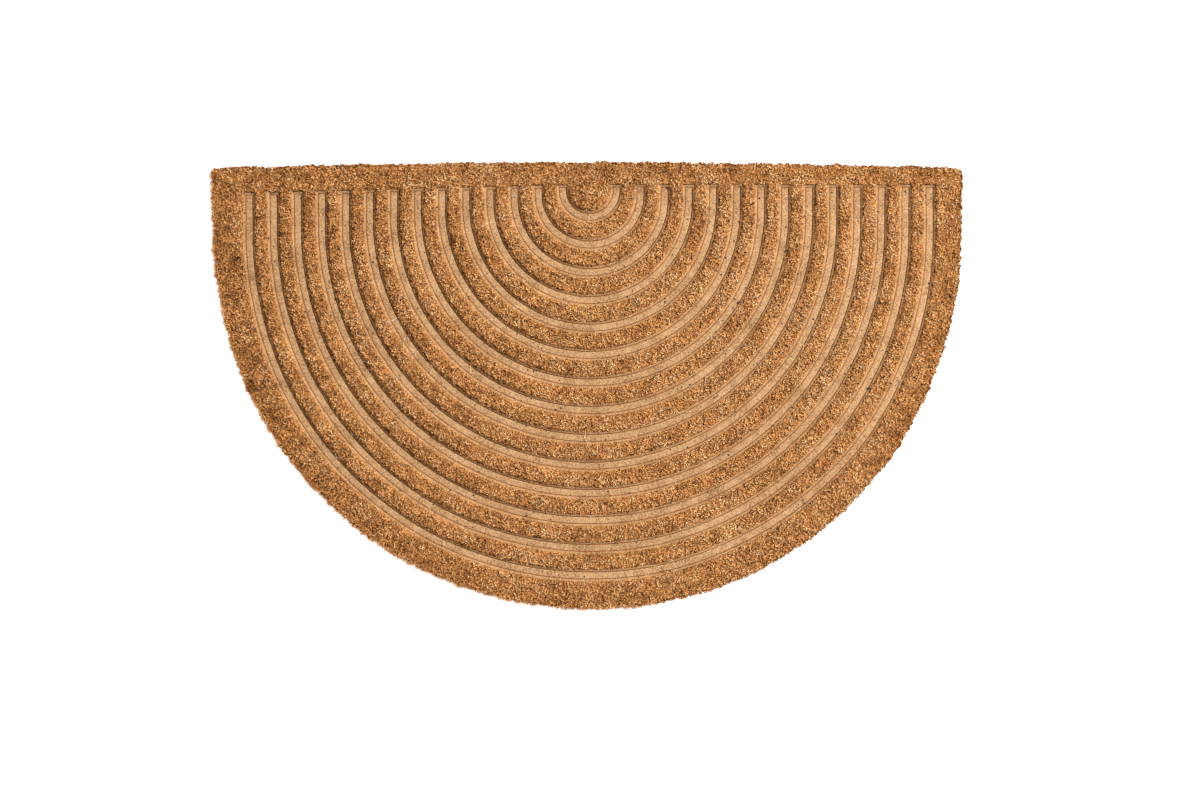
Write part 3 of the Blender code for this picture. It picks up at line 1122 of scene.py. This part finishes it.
def makeStudio():
    scene = bpy.context.scene
    scene.view_settings.view_transform = "Standard"
    world = bpy.data.worlds.new("studio_fill")
    scene.world = world
    world.use_nodes = True
    sky = world.node_tree.nodes["Background"]
    sky.inputs["Color"].default_value = (1, 1, 1, 1)
    sky.inputs["Strength"].default_value = studio["sky"]

    bpy.ops.mesh.primitive_plane_add(size=studio["floorWidth"], location=(0, 0, 0))
    floor = bpy.context.object
    floor.name = "studio_floor"
    paper, shader = startMaterial("pale_floor", roughness=0.95)
    shader.inputs["Base Color"].default_value = (*[studio["floorShade"]] * 3, 1)
    shader.inputs["Emission Color"].default_value = (1, 1, 1, 1)
    shader.inputs["Emission Strength"].default_value = studio["floorGlow"]
    floor.data.materials.append(paper)

    for lamp in studio["lamps"]:
        addLamp(lamp)

    lens = bpy.data.cameras.new("overhead")
    lens.lens = studio["lens"]
    lens.sensor_width = studio["sensor"]
    camera = bpy.data.objects.new("overhead", lens)
    scene.collection.objects.link(camera)
    camera.location = (*studio["cameraOver"], pileTop + studio["cameraAbove"])
    camera.rotation_euler = (0, 0, 0)
    scene.camera = camera
    print("studio ready")


# What lies on the mat: stray hairs, and crumbs of husk. Lengths and widths in millimetres.
hairs = {
    "count": 260,
    "length": (7, 20),
    "width": 0.32,
    "widthSpread": (0.75, 1.3),
    "taper": ((0, 0.6), (0.2, 1), (0.8, 1), (1, 0.4)),      # share of the length, and of the width there
    "segments": 9,
    "curl": 0.55,               # how much the heading turns from segment to segment
    "curlKept": 0.7,            # of the last turn
    "curlAdded": 0.6,
    "inside": 0.014,            # how far inside the cut edge they start, in metres
    "lift": (0.0003, 0.0004),   # over the pile, in metres: the least, and how much more there may be
    "tone": (0.86, 0.10),       # usual tone and its spread
    "edgeCount": 260,           # short ones that stand out at the cut edge
    "edgeLength": (2.0, 4.5),
    "edgeSpacing": 0.0058,      # this and the rest in metres
    "edgeStart": 0.0022,        # inside the cut edge
    "edgeHeading": 0.6,         # radians either way
    "edgeCurl": 0.22,
    "edgeRise": (0.004, 0.0155),
    "edgeSlope": 0.0008,
    "seed": 31,
}


def hairPaths(x, y, heading, length, segments, curl, random):
    # Curly paths over the mat: fibre, place along it, x y z
    count = len(x)
    step = length / segments
    bend = random.normal(0, curl, count)
    spots = [np.stack([x, y], axis=1)]
    for _ in range(segments):
        bend = hairs["curlKept"] * bend + random.normal(0, hairs["curlAdded"] * curl, count)
        heading = heading + bend
        forward = np.stack([np.cos(heading), np.sin(heading)], axis=1)
        spots.append(spots[-1] + forward * step[:, None])
    return np.stack(spots, axis=1)


nearlyUp = (0.03, 0.02, 1.0)    # the way a hair's flat side faces


def makeHairs():
    random = np.random.default_rng(hairs["seed"])
    x = random.uniform(cadBox[0][0], cadBox[1][0], 2 * hairs["count"])
    y = random.uniform(cadBox[0][1], cadBox[1][1], 2 * hairs["count"])
    kept = insideEdge(x, y) > hairs["inside"]
    x, y = x[kept][:hairs["count"]], y[kept][:hairs["count"]]
    count = len(x)
    length = random.uniform(*hairs["length"], count) * millimetre
    heading = random.uniform(0, 2 * math.pi, count)
    flat = hairPaths(x, y, heading, length, hairs["segments"], hairs["curl"], random)
    surface = pileHeight(channelReach(flat[..., 0], flat[..., 1]))
    lift = hairs["lift"][0] + hairs["lift"][1] * random.random(flat.shape[:2])
    # a hair bridges the channels that it crosses, and dips a little into them
    bridged = np.maximum(surface, 0.5 * (surface + surface.max(axis=1, keepdims=True)))
    points = np.concatenate([flat, (bridged + lift)[..., None]], axis=2)

    # short ones at the cut edge
    edge, outward = edgeSpots(hairs["edgeSpacing"], hairs["seed"])[:2]
    chosen = random.permutation(len(edge))[:hairs["edgeCount"]]
    edge, outward = edge[chosen], outward[chosen]
    short = random.uniform(*hairs["edgeLength"], len(edge)) * millimetre
    heading = np.arctan2(outward[:, 1], outward[:, 0])
    heading = heading + random.normal(0, hairs["edgeHeading"], len(edge))
    start = edge - hairs["edgeStart"] * outward
    flat = hairPaths(start[:, 0], start[:, 1], heading, short, hairs["segments"], hairs["edgeCurl"], random)
    slope = hairs["edgeSlope"] * np.linspace(-1, 1, hairs["segments"] + 1)
    rise = random.uniform(*hairs["edgeRise"], (len(edge), 1)) + slope
    points = np.concatenate([points, np.concatenate([flat, rise[..., None]], axis=2)])

    count = len(points)
    taper = np.interp(np.linspace(0, 1, hairs["segments"] + 1), *np.transpose(hairs["taper"]))
    widths = hairs["width"] * millimetre * random.uniform(*hairs["widthSpread"], count)[:, None] * taper
    tone = np.clip(random.normal(*hairs["tone"], count), 0, 1)
    facing = np.tile(nearlyUp, (count, 1))
    along = np.ones(widths.shape)
    mesh = fibreMesh("stray_hairs", points, widths, facing, tone, along)
    piece = addPiece("stray_hairs", mesh, [fibreMaterial])
    print("stray hairs:", count, "hairs,", len(mesh.polygons), "triangles")
    return piece


crumbs = {
    "inChannels": 400,
    "onPile": 220,
    "tried": 4000,              # spots over the box, from which those are taken
    "inside": 0.003,            # how far inside the cut edge
    "size": (1.1, 2.5),         # in millimetres
    "raised": 0.15,             # of their size, over what they lie on
    "dents": (0.75, 1.2),       # how near and far a corner may be
    "squash": (0.45, 0.9),      # of their length: how broad they are
    "thick": 0.45,              # and how thick
    "seed": 41,
}
# The larger ones: x, y and size, in metres
largeCrumbs = (
    (0.083, 0.198, 0.0046),
    (0.153, 0.083, 0.0043),
    (0.200, 0.135, 0.0030),
    (0.283, -0.003, 0.0038),
    (0.206, -0.022, 0.0028),
    (0.236, -0.012, 0.0026),
    (0.128, -0.012, 0.0028),
    (-0.250, 0.087, 0.0036),
    (-0.318, 0.147, 0.0032),
    (0.033, -0.084, 0.0028),
    (-0.060, -0.040, 0.0028),
    (-0.191, -0.090, 0.0030),
)


def makeCrumbs():
    random = np.random.default_rng(crumbs["seed"])
    x = random.uniform(cadBox[0][0], cadBox[1][0], crumbs["tried"])
    y = random.uniform(cadBox[0][1], cadBox[1][1], crumbs["tried"])
    inChannel = channelReach(x, y) < lipHalf
    inside = insideEdge(x, y) > crumbs["inside"]
    low = np.flatnonzero(inside & inChannel)[:crumbs["inChannels"]]
    high = np.flatnonzero(inside & ~inChannel)[:crumbs["onPile"]]
    chosen = np.concatenate([low, high])
    large = np.array(largeCrumbs)
    x, y = np.r_[x[chosen], large[:, 0]], np.r_[y[chosen], large[:, 1]]
    size = np.r_[random.uniform(*crumbs["size"], len(chosen)) * millimetre, large[:, 2]]
    z = pileHeight(channelReach(x, y)) + crumbs["raised"] * size
    turned = random.uniform(0, 2 * math.pi, len(x))

    # every crumb is a squashed and dented ball of twenty sides
    ball = bmesh.new()
    bmesh.ops.create_icosphere(ball, subdivisions=1, radius=0.5)
    shape = np.array([corner.co for corner in ball.verts])
    sides = np.array([[corner.index for corner in face.verts] for face in ball.faces])
    ball.free()
    corners = shape[None] * random.uniform(*crumbs["dents"], (len(x), len(shape), 1))
    broad = random.uniform(*crumbs["squash"], len(x))
    corners = corners * np.stack([np.ones(len(x)), broad, np.full(len(x), crumbs["thick"])], axis=1)[:, None]
    cosine, sine = np.cos(turned)[:, None], np.sin(turned)[:, None]
    corners = np.stack([
        corners[..., 0] * cosine - corners[..., 1] * sine,
        corners[..., 0] * sine + corners[..., 1] * cosine,
        corners[..., 2],
    ], axis=2)
    corners = corners * size[:, None, None] + np.stack([x, y, z], axis=1)[:, None]
    faces = np.arange(len(x))[:, None, None] * len(shape) + sides
    mesh = bpy.data.meshes.new("husk_crumbs")
    mesh.from_pydata(corners.reshape(-1, 3), [], faces.reshape(-1, 3))
    piece = addPiece("husk_crumbs", mesh, [huskMaterial])
    print("husk crumbs:", len(x), "crumbs,", len(mesh.polygons), "triangles")
    return piece


fibreMaterial = makeFibreMaterial()
bedMaterial = makeBedMaterial()
underMaterial = makeGrainedMaterial("coir_underside")
huskMaterial = makeGrainedMaterial("coconut_husk")
makeStudio()
matBody = makeBody()
pile = [makeCoat(coat) for coat in coats]
edgeFringe = makeFringe()
strayHairs = makeHairs()
huskCrumbs = makeCrumbs()
